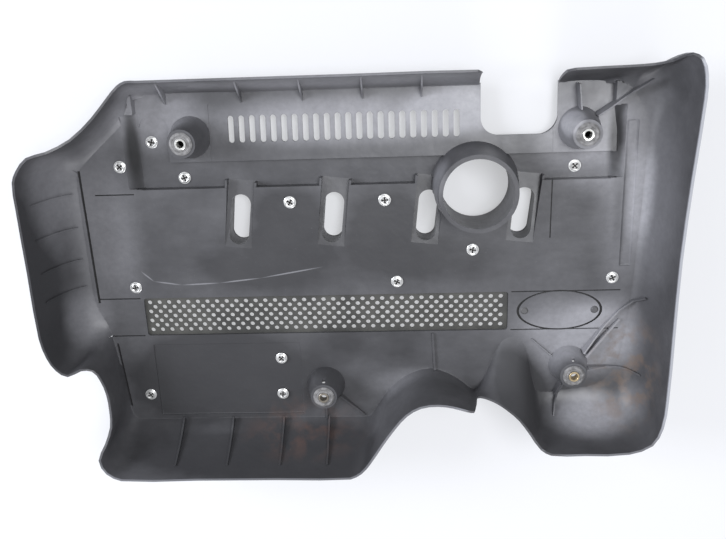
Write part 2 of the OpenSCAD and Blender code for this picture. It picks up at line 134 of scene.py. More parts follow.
def blotches(tree, size_mm, low, high, to_low=0.0, to_high=1.0, stretch=(1.0, 1.0, 1.0)):
    """Uneven cloudy marks about size_mm across, as a share from to_low to to_high."""
    where = add(tree, "ShaderNodeTexCoord")["Object"]
    scaled = add(tree, "ShaderNodeMapping", None,
                 {"Vector": where, "Scale": tuple(s / (size_mm * MM) for s in stretch)})[0]
    cloud = add(tree, "ShaderNodeTexNoise", None,
                {"Vector": scaled, "Scale": 1.0, "Detail": 3.0, "Roughness": 0.6})[0]
    return add(tree, "ShaderNodeMapRange", None, {"Value": cloud, "From Min": low, "From Max": high,
                                                  "To Min": to_low, "To Max": to_high})[0]


def soft_place(tree, centre_mm, radii_mm, strength):
    """A soft-edged place on the piece: strength in its middle third and 0 past its radii."""
    where = add(tree, "ShaderNodeTexCoord")["Object"]
    moved = add(tree, "ShaderNodeMapping", {"vector_type": "TEXTURE"},
                {"Vector": where, "Location": tuple(c * MM for c in centre_mm),
                 "Scale": tuple(r * MM for r in radii_mm)})[0]
    reach = add(tree, "ShaderNodeVectorMath", {"operation": "LENGTH"}, {0: moved})["Value"]
    return add(tree, "ShaderNodeMapRange", {"interpolation_type": "SMOOTHSTEP"},
               {"Value": reach, "From Min": 0.3, "From Max": 1.05, "To Min": strength, "To Max": 0.0})[0]


def scuff_line(tree, start_mm, end_mm, width_mm):
    """A thin scuff from one place to another: 1 on the line and 0 past its width."""
    run = Vector(end_mm) - Vector(start_mm)
    middle = (Vector(end_mm) + Vector(start_mm)) / 2
    where = add(tree, "ShaderNodeTexCoord")["Object"]
    turned = add(tree, "ShaderNodeMapping", {"vector_type": "TEXTURE"},
                 {"Vector": where, "Location": (middle.x * MM, middle.y * MM, 0.0),
                  "Rotation": (0.0, 0.0, math.atan2(run.y, run.x)),
                  "Scale": (run.length * 0.55 * MM, width_mm * MM, 1.0)})[0]
    reach = add(tree, "ShaderNodeVectorMath", {"operation": "LENGTH"}, {0: turned})["Value"]
    return add(tree, "ShaderNodeMapRange", None, {"Value": reach, "From Min": 0.45, "From Max": 1.0,
                                                  "To Min": 1.0, "To Max": 0.0})[0]


def select_only(*pieces):
    """Selects these objects alone and makes the last one active."""
    bpy.ops.object.select_all(action="DESELECT")
    for piece in pieces:
        piece.select_set(True)
    bpy.context.view_layer.objects.active = pieces[-1]


def finish_piece(piece, name, material, node, angle=30.0):
    """Shades a finished piece, gives it its material, and lets it stand for its CAD node, if it has one."""
    piece.name = name
    piece.data.name = name
    select_only(piece)
    bpy.ops.object.shade_smooth_by_angle(angle=math.radians(angle))
    # Flat parts end in a crease and keep their own direction, so that no shade runs across them
    flat = [any(face.normal.dot(way) > FLAT_COSINE for way in FLAT_WAYS) for face in piece.data.polygons]
    sides = {}
    for face in piece.data.polygons:
        for key in face.edge_keys:
            sides.setdefault(key, []).append(face.index)
    for edge in piece.data.edges:
        pair = sides.get(edge.key, ())
        if len(pair) == 2 and (flat[pair[0]] or flat[pair[1]]):
            first, second = (piece.data.polygons[i].normal for i in pair)
            if first.dot(second) < CREASE_COSINE:
                edge.use_edge_sharp = True
    weigh = piece.modifiers.new("flat faces", "WEIGHTED_NORMAL")
    weigh.keep_sharp = True
    weigh.weight = 100
    bpy.ops.object.modifier_apply(modifier=weigh.name)
    piece.data.materials.clear()
    piece.data.materials.append(material)
    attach(piece, "root")
    if node is not None:
        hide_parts(node)


def smoothed_copy(node):
    """A copy of a CAD node with its loose triangles merged, so that its curves shade smoothly."""
    source = bpy.data.objects[node]
    piece = bpy.data.objects.new(node + "_smooth", source.data.copy())
    bpy.context.scene.collection.objects.link(piece)
    select_only(piece)
    bpy.ops.object.mode_set(mode="EDIT")
    bpy.ops.mesh.select_all(action="SELECT")
    bpy.ops.mesh.remove_doubles(threshold=MERGE_MM * MM)
    bpy.ops.object.mode_set(mode="OBJECT")
    return piece


def placed_copy(master, node, level, turn=0.0):
    """A copy of a master piece with its own mesh, moved to the middle of a CAD node's box."""
    low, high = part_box(node)
    copy = bpy.data.objects.new(node + "_piece", master.data.copy())
    bpy.context.scene.collection.objects.link(copy)
    copy.data.transform(Matrix.Translation(((low[0] + high[0]) / 2, (low[1] + high[1]) / 2, level))
                        @ Matrix.Rotation(math.radians(turn), 4, "Z"))
    return copy


def turned_ring(name, profile_mm):
    """A ring turned about Z: a circle is drawn out along a closed profile of (radius, level) and merged."""
    first_r, first_z = profile_mm[0]
    bpy.ops.object.select_all(action="DESELECT")
    bpy.ops.mesh.primitive_circle_add(vertices=64, radius=first_r * MM, location=(0, 0, 0),
                                      fill_type="NOTHING")
    ring = bpy.context.object
    ring.name = name
    bpy.ops.object.mode_set(mode="EDIT")
    bpy.ops.mesh.select_all(action="SELECT")
    bpy.ops.transform.translate(value=(0, 0, first_z * MM))
    here_r, here_z = first_r, first_z
    for r, z in profile_mm[1:] + profile_mm[:1]:
        bpy.ops.mesh.extrude_edges_move(TRANSFORM_OT_translate={"value": (0, 0, (z - here_z) * MM)})
        bpy.ops.transform.resize(value=(r / here_r, r / here_r, 1.0), center_override=(0, 0, z * MM))
        here_r, here_z = r, z
    bpy.ops.mesh.select_all(action="SELECT")
    bpy.ops.mesh.remove_doubles(threshold=0.01 * MM)
    bpy.ops.mesh.normals_make_consistent(inside=False)
    bpy.ops.object.mode_set(mode="OBJECT")
    return ring


def plate_of(outline_mm, thickness_mm, place):
    """A flat upright plate: a filled circle is pulled to an outline of (along, up) and extruded."""
    bpy.ops.object.select_all(action="DESELECT")
    bpy.ops.mesh.primitive_circle_add(vertices=len(outline_mm), radius=1.0, fill_type="NGON")
    plate = bpy.context.object
    for vertex, (along, up) in zip(plate.data.vertices, outline_mm):
        vertex.co = (along * MM, -thickness_mm / 2 * MM, up * MM)
    bpy.ops.object.mode_set(mode="EDIT")
    bpy.ops.mesh.select_all(action="SELECT")
    bpy.ops.mesh.extrude_region_move(TRANSFORM_OT_translate={"value": (0, thickness_mm * MM, 0)})
    bpy.ops.mesh.select_all(action="SELECT")
    bpy.ops.mesh.normals_make_consistent(inside=False)
    bpy.ops.object.mode_set(mode="OBJECT")
    plate.data.transform(place)
    return plate


def block(x0, y0, z0, x1, y1, z1, lean=0.0, turn=0.0, round_mm=0.0):
    """A block between two corners in millimetres, leaned about X or turned about Z in its middle."""
    bpy.ops.object.select_all(action="DESELECT")
    middle = ((x0 + x1) / 2 * MM, (y0 + y1) / 2 * MM, (z0 + z1) / 2 * MM)
    bpy.ops.mesh.primitive_cube_add(size=1.0, location=middle,
                                    rotation=(math.radians(lean), 0, math.radians(turn)))
    cube = bpy.context.object
    cube.scale = ((x1 - x0) * MM, (y1 - y0) * MM, (z1 - z0) * MM)
    bpy.ops.object.transform_apply(location=True, rotation=True, scale=True)
    bpy.ops.object.mode_set(mode="EDIT")
    bpy.ops.mesh.select_all(action="SELECT")
    bpy.ops.mesh.bevel(offset=max(round_mm, 0.15) * MM, segments=3 if round_mm else 1)
    bpy.ops.object.mode_set(mode="OBJECT")
    return cube


def joined(pieces, name):
    """Joins loose blocks or plates into one object."""
    select_only(*pieces)
    bpy.ops.object.join()
    bpy.context.object.name = name
    return bpy.context.object


def cut_away(piece, cutter):
    """Cuts a closed cutter out of a piece and clears the cutter away."""
    cut = piece.modifiers.new("cut", "BOOLEAN")
    cut.operation = "DIFFERENCE"
    cut.solver = "MANIFOLD"
    cut.object = cutter
    select_only(piece)
    bpy.ops.object.modifier_apply(modifier=cut.name)
    bpy.data.objects.remove(cutter)
    if not piece.data.polygons:
        raise RuntimeError("a cut emptied " + piece.name)


def top_face(piece):
    """Selects the highest level face of a piece in edit mode."""
    bpy.ops.mesh.select_all(action="DESELECT")
    bpy.ops.object.mode_set(mode="OBJECT")
    upward = [face for face in piece.data.polygons if face.normal.z > 0.9]
    best = max(upward, key=lambda face: (round(face.center.z, 6), face.area))
    best.select = True
    bpy.ops.object.mode_set(mode="EDIT")


class CoverShellSettings(bpy.types.PropertyGroup):
    """Colours and finish of the moulded shell"""
    plastic: colour_setting("Plastic", "Colour of the clean shell", "333335")
    # The dust colour also carries painted highlight and sheen in some places
    dust_and_sheen: colour_setting("Dust", "Colour of the dry film of dust", "8A8A8E")
    dirt: colour_setting("Dirt", "Colour of the brown dirt", "6C5C50")
    # The rubbed edge colour is a painted highlight along the rim's top edge
    edge: colour_setting("Rubbed edge", "Colour of the rubbed rim", "A4A6AC")
    # This grime colour is painted shade in the grooves, round the oval plate and at the tray's ends
    shade_and_grime: colour_setting("Grime", "Colour of the grime in grooves", "151515")
    rust: colour_setting("Rust stain", "Colour of the faint rusty stains", "5C453C")
    roughness: bpy.props.FloatProperty(name="Roughness", description="Roughness of the clean plastic",
                                       default=0.4, min=0.0, max=1.0, subtype="FACTOR")


class CoverPanelSettings(bpy.types.PropertyGroup):
    """Colours of the outer panels, the grille and the oval plate"""
    panel: colour_setting("Outer panels", "Colour of the outer trim panels", "232326")
    grille: colour_setting("Grille", "Colour of the grille strip", "30302E")
    plate: colour_setting("Oval plate", "Colour of the oval plate", "4A4A4C")


class CoverGrommetSettings(bpy.types.PropertyGroup):
    """Colour of the rubber rings"""
    rubber: colour_setting("Rubber", "Colour of the grommets", "3B3A39")
    chalk: colour_setting("Bloom", "Colour of the chalky bloom on the lips", "8E8D8D")


class CoverSleeveSettings(bpy.types.PropertyGroup):
    """Colours of the metal sleeves"""
    zinc: colour_setting("Zinc", "Colour of the plated sleeves", "F0F0EC")
    brown: colour_setting("Brown tarnish", "Colour of the lower left sleeve", "8A8378")
    brass: colour_setting("Brass tarnish", "Colour of the lower right sleeve", "C4B08A")


class CoverScrewSettings(bpy.types.PropertyGroup):
    """Size and colours of the screw heads"""
    head: bpy.props.FloatProperty(name="Head radius", description="Radius of a screw's washer head",
                                  default=5.8 * MM, min=0.004, max=0.007, unit="LENGTH")
    zinc: colour_setting("Zinc", "Colour of the plated screws", "E4E4E2")
    # The recess colour is painted shade and grime
    shade_and_grime: colour_setting("Grime", "Colour of the dirt in the recesses", "16130F")


class CoverStageSettings(bpy.types.PropertyGroup):
    """Sizes and strengths of the studio"""
    floor_size: bpy.props.FloatProperty(name="Floor size", description="Side of the floor", default=30.0,
                                        min=2.0, unit="LENGTH")
    floor: colour_setting("Floor", "Colour of the floor", "D2D3D6")
    window: bpy.props.FloatProperty(name="Window", description="Power of the lamp above",
                                    default=30.0, min=0.0)
    side: bpy.props.FloatProperty(name="Side", description="Power of the lamp at the left",
                                  default=34.0, min=0.0)
    front: bpy.props.FloatProperty(name="Front", description="Power of the lamp in front",
                                   default=14.0, min=0.0)
    sky: bpy.props.FloatProperty(name="Sky", description="Strength of the light from all round",
                                 default=0.55, min=0.0)


class COVER_OT_shell(bpy.types.Operator):
    """Cut the fine marks into a copy of the moulded shell, add its ribs, and give both their worn plastic"""
    bl_idname = "cover.shell"
    bl_label = "Moulded shell"

    def execute(self, context):
        plastic = shell_plastic(context.scene.cover_shell)
        piece = smoothed_copy("cover_shell")
        self.sink_marks(piece)
        finish_piece(piece, "moulded_shell", plastic, "cover_shell", 25.0)
        ribs = self.ribs()
        finish_piece(ribs, "stiffening_ribs", plastic, None, 25.0)
        return {"FINISHED"}

    def sink_marks(self, shell):
        """Recesses, grooves, drain slots and the tray's open ends are cut in, and the grooves' bottoms are
        marked for painted shade.
        """
        over = PLATE_Z + 4
        groove_z = PLATE_Z - GROOVE_DEPTH
        cuts = [block(x0, y0, PLATE_Z - deep, x1, y1, over, turn=turn, round_mm=round_mm)
                for x0, y0, x1, y1, deep, turn, round_mm in RECESSES]
        cuts += [block(x0, y0, groove_z, x1, y1, over, turn=turn) for x0, y0, x1, y1, turn in GROOVES]
        cuts += [block(x - 0.6, 106, 17.4, x + 0.6, 158, 24.4, lean=SLOPE_LEAN) for x in SLOPE_GROOVES_X]
        cuts += [block(x - 1.5, y + 9, BOSS_TOP - 9, x + 1.5, y + 17, BOSS_TOP - 3)
                 for x, y in DRAINED_BOSSES]
        # Both ends of the tray: plate's edge, end wall, and at the right its part on the sloping panel
        cuts += [block(-213, 81, 21.8, -204.5, 151, over), block(-205.2, 80.6, TRAY_Z, -198.9, 151, over),
                 block(244.5, 81, 21.8, 250.5, 148, over), block(239.9, 80.6, TRAY_Z, 245.2, 104.5, over),
                 block(239.9, 103, 18.3, 245.2, 151, 27.5, lean=SLOPE_LEAN)]
        for cut in cuts:
            cut_away(shell, cut)
        # Painted shade lies on the bottoms of the grooves
        shade_and_grime = shell.data.attributes.new("shade_and_grime", "FLOAT", "POINT")
        for vertex in shell.data.vertices:
            shade_and_grime.data[vertex.index].value = 1.0 if abs(vertex.co.z - groove_z * MM) < 0.02 * MM else 0.0

    def ribs(self):
        """Gussets under the top flange, fins on the skirts, and webs from the bosses."""
        across = Matrix.Rotation(math.pi / 2, 4, "Z")
        plates = [plate_of(GUSSET, 1.6, Matrix.Translation((x * MM, 0, 0)) @ across) for x in GUSSETS_X]
        plates += [self.fin(x, -165, -90, **BOTTOM_FIN) for x in BOTTOM_FINS_X]
        plates += [self.fin(-264, y, 180, **LEFT_FIN) for y in LEFT_FINS_Y]
        # The tray's slanted end walls run from the plate down to its floor
        for top_x, foot_x in TRAY_ENDS_X:
            back = math.copysign(2.0, foot_x - top_x)
            wall = ((top_x - back, PLATE_Z - 0.8), (top_x, PLATE_Z - 0.1),
                    (foot_x, 12.8), (foot_x - back, 11.6))
            plates.append(plate_of(wall, 74.0, Matrix.Translation((0, 117.5 * MM, 0))))
        for thickness, line in WEBS:
            end = thickness / 3
            for (x0, y0, foot0, tall0), (x1, y1, foot1, tall1) in zip(line, line[1:]):
                run = math.hypot(x1 - x0, y1 - y0)
                outline = ((-end, foot0 - 1), (run + end, foot1 - 1),
                           (run + end, foot1 + tall1), (-end, foot0 + tall0))
                place = (Matrix.Translation((x0 * MM, y0 * MM, 0))
                         @ Matrix.Rotation(math.atan2(y1 - y0, x1 - x0), 4, "Z"))
                plates.append(plate_of(outline, thickness, place))
        ribs = joined(plates, "ribs")
        soften = ribs.modifiers.new("soft edges", "BEVEL")
        soften.width = 0.3 * MM
        soften.segments = 2
        select_only(ribs)
        bpy.ops.object.modifier_apply(modifier=soften.name)
        return ribs

    def fin(self, x, y, angle, run, up, bowl, start, end, tall0, tall1, thickness):
        """A fin along a part of a skirt's curve, which runs out by run and climbs by up."""
        foot, edge = [], []
        for k in range(6):
            u = start + (end - start) * k / 5
            tall = tall0 + (tall1 - tall0) * k / 5
            out = run * (bowl * math.sin(math.pi / 2 * u) + (1 - bowl) * u)
            rise = up * (bowl * (1 - math.cos(math.pi / 2 * u)) + (1 - bowl) * u)
            # The foot lies 1 mm inside the skirt
            foot.append((out + 0.7, rise - 0.7))
            edge.append((out - 0.9 * tall, rise + 0.6 * tall))
        place = (Matrix.Translation((x * MM, y * MM, PLATE_Z * MM))
                 @ Matrix.Rotation(math.radians(angle), 4, "Z"))
        return plate_of(foot + edge[::-1], thickness, place)


# All in millimetres. Recesses in the plate: two corners in x and y, depth, turn and rounding
RECESSES = ((-209, -160, -59, -80, 1.2, 0, 0.8), (251.5, -6, 263, 134, 1.5, 0.6, 2.2))
# Grooves in the plate: depth, then two corners in x and y, and turn
GROOVE_DEPTH = 0.9
GROOVES = ((-259.9, -34, -257.5, 100, 0.6), (-243.6, -150, -241.7, -78, 4.6), (-247, 75.4, -209, 76.6, 0),
           (185.4, 24, 186.6, 80, 0), (-258, -70.6, -216, -69.4, 0), (151, -70.6, 256, -69.4, 0),
           (-258, -30.6, -216, -29.4, 0), (151, -30.6, 256, -29.4, 0))
SLOPE_GROOVES_X = (-132, 186)
DRAINED_BOSSES = ((-35, -127), (209, -107.5))
# Tops and feet of the tray's slanted end walls
TRAY_ENDS_X = ((-213.2, -198.5), (250.8, 237.5))
# A gusset's outline along Y and up, from its foot on the sloping panel to the top of the flange
GUSSET = ((157, 13.2), (167, 11.5), (172, 16.5), (182, 40), (179, 40))
GUSSETS_X = (-172, -101, -44, 12, 66)
# Fins on the bottom skirt, and thinner ones on the left skirt, which is nearly a quarter circle
BOTTOM_FINS_X = (-185, -133, -80, -33)
LEFT_FINS_Y = (78, 45, 13, -15)
BOTTOM_FIN = {"run": 28.8, "up": 68, "bowl": 0.3, "start": 0.02, "end": 0.8, "tall0": 5.0, "tall1": 1.0,
              "thickness": 2.0}
LEFT_FIN = {"run": 27.8, "up": 65, "bowl": 0.9, "start": 0.1, "end": 0.8, "tall0": 1.6, "tall1": 0.8,
            "thickness": 1.2}
# Webs from the bosses to the skirts and across the plate: thickness, then points of x, y, foot and height
WEBS = ((1.6, ((209, 144.6, 14, 16), (207, 166.4, 13.4, 14))),
        (1.6, ((223, 139, 13, 22), (236, 147, 16, 16), (247, 155, 23, 9), (256, 162, 28, 9),
               (265, 171, 45, 6))),
        (1.6, ((222, -92, 25, 12), (240, -68, 25, 5), (256, -50, 25, 3), (268, -40, 27.2, 3),
               (275, -34, 39, 3))),
        (1.6, ((227, -111, 25, 10), (245, -110, 25, 5), (258, -111, 25, 3), (267, -112, 29.6, 3),
               (275, -113, 41.4, 3))),
        (1.6, ((203, -125, 25, 12), (198, -136, 25, 9), (196, -147, 27.8, 6), (194, -157, 38.7, 3))),
        (1.2, ((192, -98, 25, 3), (172, -80, 25, 1.4))),
        (1.6, ((-35, -145, 25, 8), (-36, -164, 25, 3))),
        (1.6, ((-20, -138, 25, 8), (3, -161, 25, 2))),
        (1.2, ((74, -73, 25, 1.2), (76, -112, 25, 1.2))))
# Places that carry more of the film of dust: middle, radii and share. The spot on the upper right boss is a
# painted highlight, the strip along the top flange and the patch on the filler collar's outer wall are dust
# and painted light, and the first three on the left skirt by the plate's edge are dust and painted sheen
DUST_AND_SHEEN_PLACES = (((-5, 140, 15), (160, 30, 30), 0.6), ((100, 148, 15), (60, 32, 30), 0.85),
                ((-180, 148, 20), (52, 42, 40), 0.65), ((212, 120, 20), (55, 60, 60), 0.45),
                ((262, 60, 45), (45, 130, 60), 0.4), ((270, 62, 25), (22, 60, 14), 0.45),
                ((205, -80, 28), (70, 55, 30), 0.65), ((240, -80, 25), (50, 55, 40), 0.7),
                ((232, -172, 35), (55, 42, 40), 1.0), ((282, -150, 40), (24, 40, 30), 0.3),
                ((-10, 176, 35), (230, 16, 30), 0.65), ((-170, 176, 35), (60, 16, 30), 0.3),
                ((-240, 40, 25), (40, 110, 40), 0.3), ((-280, 88, 50), (40, 70, 40), 0.3),
                ((-268, -45, 35), (30, 40, 30), 0.33), ((-228, 150, 30), (40, 40, 30), 0.2),
                ((196, 138, 40), (16, 18, 24), 1.4), ((79, 92, 45), (14, 34, 25), 0.5),
                ((55, -128, 28), (60, 22, 20), 0.25), ((235, 110, 25), (40, 60, 20), 0.3))
# Places that stayed darker, with less dust; the one in the arch at the lower right is painted shade: middle,
# radii and share
CLEAN_AND_SHADED_PLACES = (((-140, -120, 25), (115, 62, 25), 0.45), ((20, -80, 25), (85, 32, 25), 0.1),
                ((-62, 40, 22), (50, 50, 18), 0.25), ((28, 38, 22), (50, 50, 18), 0.3),
                ((-95, 5, 25), (110, 40, 18), 0.15), ((75, 5, 25), (100, 34, 18), 0.15),
                ((162, -122, 35), (34, 62, 60), 0.45), ((-60, -190, 60), (230, 34, 60), 0.25),
                ((-300, -10, 80), (30, 190, 50), 0.25), ((250, 62, 23), (10, 80, 4), 0.25))
# Places painted black as shade at the tray's two ends: middle, radii and share
PAINTED_SHADE_PLACES = (((-206, 118, 19), (10, 52, 10), 0.85), ((244, 112, 19), (10, 52, 10), 0.85))
# Places rubbed matt: middle, radii and added roughness
MATT_PLACES = (((160, -118, 40), (40, 70, 70), 0.35), ((75, -150, 45), (95, 60, 60), 0.2))
# Stains: middle, radii, share, size of the patches and which colour
STAINS = (((-60, -165, 45), (75, 45, 40), 0.4, 22.0, "rust"),
          ((268, -115, 35), (52, 75, 50), 0.6, 16.0, "dirt"))
# The painted highlight on the rim starts at the first level and is strongest from the second
RIM_HIGHLIGHT_MM = (92.5, 94.5)
# The groove round the oval plate: its middle and radii
OVAL_MM = ((198, -50, PLATE_Z), (40.3, 20.3, 200))
# A long scuff across the plate, from its left end to its right
SCUFF_WIDTH = 0.9
SCUFF_MM = ((-212.0, -1.4), (-200.3, -12.1), (-172.7, -16.4), (-134.6, -15.0), (-93.5, -10.7), (-32.8, -0.6))


def shell_plastic(look):
    """Moulded polypropylene, dusty and worn, with painted light and shade in places."""
    # Satin charcoal polypropylene from a polished tool: soft wide highlights, faint flow marks, a dry film of
    # dust that is thick in some places and wiped off others, fine scuffs, brown dirt and faint rusty stains,
    # with painted highlight and sheen in some dusty places, a painted highlight on the rim, and painted shade
    # in the grooves, at the tray's ends and in one arch
    material, tree, shader = new_material("moulded charcoal polypropylene")
    # The film varies over 60 mm, in streaks of 16 by 46 mm along the cover and in spots of 5 mm
    streaks = blotches(tree, 16.0, 0.3, 0.7, 0.75, 1.15, (0.35, 1, 1))
    dust_and_sheen_share = add(tree, "ShaderNodeMath", {"operation": "MULTIPLY"},
               {0: blotches(tree, 60.0, 0.3, 0.7, 0.06, 0.2), 1: streaks})[0]
    # The film thickens in the dusty places, some of which are painted highlight, painted light and painted
    # sheen
    for centre, radii, share in DUST_AND_SHEEN_PLACES:
        dust_and_sheen_share = add(tree, "ShaderNodeMath", {"operation": "ADD"},
                   {0: dust_and_sheen_share, 1: soft_place(tree, centre, radii, share)})[0]
    # Less dust in the clean places, and painted shade in the arch at the lower right
    for centre, radii, share in CLEAN_AND_SHADED_PLACES:
        dust_and_sheen_share = add(tree, "ShaderNodeMath", {"operation": "SUBTRACT", "use_clamp": True},
                   {0: dust_and_sheen_share, 1: soft_place(tree, centre, radii, share)})[0]
    dust_and_sheen_share = add(tree, "ShaderNodeMath", {"operation": "MULTIPLY", "use_clamp": True},
               {0: dust_and_sheen_share, 1: blotches(tree, 5.0, 0.3, 0.7, 0.85, 1.06)})[0]
    colour = add(tree, "ShaderNodeMix", {"data_type": "RGBA"}, {0: dust_and_sheen_share, 6: look.plastic, 7: look.dust_and_sheen})[2]
    # Sparse nicks of 1.6 mm, and the long scuff
    scuff = blotches(tree, 1.6, 0.68, 0.76, 0.0, 0.3)
    for start, end in zip(SCUFF_MM, SCUFF_MM[1:]):
        line = scuff_line(tree, start, end, SCUFF_WIDTH)
        scuff = add(tree, "ShaderNodeMath", {"operation": "MAXIMUM"}, {0: scuff, 1: line})[0]
    colour = add(tree, "ShaderNodeMix", {"data_type": "RGBA"}, {
        0: add(tree, "ShaderNodeMath", {"operation": "MULTIPLY"}, {0: scuff, 1: 0.55})[0],
        6: colour, 7: look.dust_and_sheen})[2]
    for centre, radii, share, size, shade in STAINS:
        stain = add(tree, "ShaderNodeMath", {"operation": "MULTIPLY"},
                    {0: soft_place(tree, centre, radii, share), 1: blotches(tree, size, 0.45, 0.62)})[0]
        colour = add(tree, "ShaderNodeMix", {"data_type": "RGBA"},
                     {0: stain, 6: colour, 7: getattr(look, shade)})[2]
    # A painted highlight runs pale along the rim's top edge
    where = add(tree, "ShaderNodeTexCoord")["Object"]
    level = add(tree, "ShaderNodeSeparateXYZ", None, {0: where})["Z"]
    wear_and_highlight = add(tree, "ShaderNodeMapRange", None, {
        "Value": level, "From Min": RIM_HIGHLIGHT_MM[0] * MM, "From Max": RIM_HIGHLIGHT_MM[1] * MM, "To Max": 0.7})[0]
    colour = add(tree, "ShaderNodeMix", {"data_type": "RGBA"}, {0: wear_and_highlight, 6: colour, 7: look.edge})[2]
    # Painted shade darkens the tray's two ends
    for centre, radii, share in PAINTED_SHADE_PLACES:
        colour = add(tree, "ShaderNodeMix", {"data_type": "RGBA"},
                     {0: soft_place(tree, centre, radii, share), 6: colour, 7: look.shade_and_grime})[2]
    # Painted shade fills the groove round the oval plate, 3 parts in 100 wide, and the bottoms of the other
    # grooves
    place = add(tree, "ShaderNodeMapping", {"vector_type": "TEXTURE"},
                {"Vector": where, "Location": tuple(c * MM for c in OVAL_MM[0]),
                 "Scale": tuple(r * MM for r in OVAL_MM[1])})[0]
    reach = add(tree, "ShaderNodeVectorMath", {"operation": "LENGTH"}, {0: place})["Value"]
    ring = add(tree, "ShaderNodeMath", {"operation": "COMPARE"}, {0: reach, 1: 1.0, 2: 0.03})[0]
    painted_groove_shade = add(tree, "ShaderNodeMath", {"operation": "MAXIMUM"},
                 {0: ring, 1: add(tree, "ShaderNodeAttribute", {"attribute_name": "shade_and_grime"})["Fac"]})[0]
    colour = add(tree, "ShaderNodeMix", {"data_type": "RGBA"}, {0: painted_groove_shade, 6: colour, 7: look.shade_and_grime})[2]
    tree.links.new(colour, shader.inputs["Base Color"])
    rough = blotches(tree, 45.0, 0.3, 0.7, look.roughness - 0.04, look.roughness + 0.12)
    for centre, radii, share in MATT_PLACES:
        rough = add(tree, "ShaderNodeMath", {"operation": "ADD"},
                    {0: rough, 1: soft_place(tree, centre, radii, share)})[0]
    tree.links.new(rough, shader.inputs["Roughness"])
    # Orange peel about 1 mm across on slow waves of 30 mm, where the walls sank in the mould
    wave = add(tree, "ShaderNodeMath", {"operation": "MULTIPLY_ADD"},
               {0: blotches(tree, 30.0, 0.2, 0.8), 1: 1.2, 2: blotches(tree, 1.1, 0.2, 0.8, 0.0, 0.03)})[0]
    bump = add(tree, "ShaderNodeBump", None, {"Strength": 0.4, "Distance": 1.0 * MM, "Height": wave})[0]
    tree.links.new(bump, shader.inputs["Normal"])
    shader.inputs["IOR"].default_value = PLASTIC_IOR
    return material


class COVER_OT_panels(bpy.types.Operator):
    """Merge and shade the outer trim panels and the oval plate, and finish the grille"""
    bl_idname = "cover.panels"
    bl_label = "Trim panels, grille and oval plate"

    def execute(self, context):
        look = context.scene.cover_panels
        grained = grained_plastic("grained trim polypropylene", look.panel)
        for node in ("upper_trim_panel", "lower_trim_panel"):
            finish_piece(smoothed_copy(node), node + "_grained", grained, node)
        finish_piece(smoothed_copy("oval_plate"), "oval_plate_moulded",
                     grained_plastic("moulded plate ABS", look.plate), "oval_plate")
        grille = bpy.data.objects["mesh_grille"].data
        grille.materials.clear()
        grille.materials.append(grained_plastic("moulded grille polypropylene", look.grille))
        return {"FINISHED"}


def grained_plastic(name, colour):
    """Moulded plastic with a fine spark-eroded grain."""
    # An even leather-fine grain takes the shine off it, and it is rubbed paler in patches.
    # The real grain is about 0.4 mm across and is drawn at 1 mm, so that it shows
    material, tree, shader = new_material(name)
    wear_and_highlight = blotches(tree, 40.0, 0.4, 0.7, 0.0, 0.22)
    tree.links.new(add(tree, "ShaderNodeMix", {"data_type": "RGBA"},
                       {0: wear_and_highlight, 6: colour, 7: hex_colour(RUBBED_GRAIN)})[2],
                   shader.inputs["Base Color"])
    tree.links.new(blotches(tree, 40.0, 0.3, 0.7, 0.48, 0.62), shader.inputs["Roughness"])
    tree.links.new(add(tree, "ShaderNodeBump", None,
                       {"Strength": 0.5, "Distance": 0.2 * MM, "Height": blotches(tree, 1.0, 0.3, 0.7)})[0],
                   shader.inputs["Normal"])
    shader.inputs["IOR"].default_value = PLASTIC_IOR
    return material


class COVER_OT_grommets(bpy.types.Operator):
    """Turn a stepped rubber ring and set one in each boss"""
    bl_idname = "cover.grommets"
    bl_label = "Rubber grommets"

    def execute(self, context):
        look = context.scene.cover_grommets
        # Lip with two steps and a groove above the boss, neck through it, and a small lip below
        master = turned_ring("grommet", [
            (4.62, 1.6), (5.6, 1.95), (6.6, 1.95), (7.0, 1.5), (7.5, 1.45), (7.9, 1.85), (9.2, 1.7),
            (9.7, 1.1), (10.4, 0.8), (10.45, 0.02), (8.0, 0.0), (8.0, -2.5), (8.95, -2.55), (8.6, -4.3),
            (4.62, -4.45)])
        bevel = master.modifiers.new("soft edges", "BEVEL")
        bevel.width = 0.15 * MM
        bevel.segments = 2
        bevel.limit_method = "ANGLE"
        select_only(master)
        bpy.ops.object.modifier_apply(modifier=bevel.name)
        rubber = rubber_material(look)
        for k in range(1, BOSSES + 1):
            node = f"grommet_{k}"
            ring = placed_copy(master, node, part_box(node)[1][2] - GROMMET_RISE * MM)
            finish_piece(ring, node + "_rubber", rubber, node, 35.0)
        bpy.data.objects.remove(master)
        return {"FINISHED"}


def rubber_material(look):
    """Moulded EPDM rubber."""
    # Black rubber gone grey and chalky on its lips, with no sharp shine
    material, tree, shader = new_material("moulded EPDM rubber")
    tree.links.new(add(tree, "ShaderNodeMix", {"data_type": "RGBA"},
                       {0: blotches(tree, 5.0, 0.35, 0.65, 0.2, 0.75), 6: look.rubber, 7: look.chalk})[2],
                   shader.inputs["Base Color"])
    shader.inputs["Roughness"].default_value = 0.62
    tree.links.new(add(tree, "ShaderNodeBump", None,
                       {"Strength": 0.3, "Distance": 0.2 * MM, "Height": blotches(tree, 0.8, 0.3, 0.7)})[0],
                   shader.inputs["Normal"])
    shader.inputs["IOR"].default_value = RUBBER_IOR
    return material


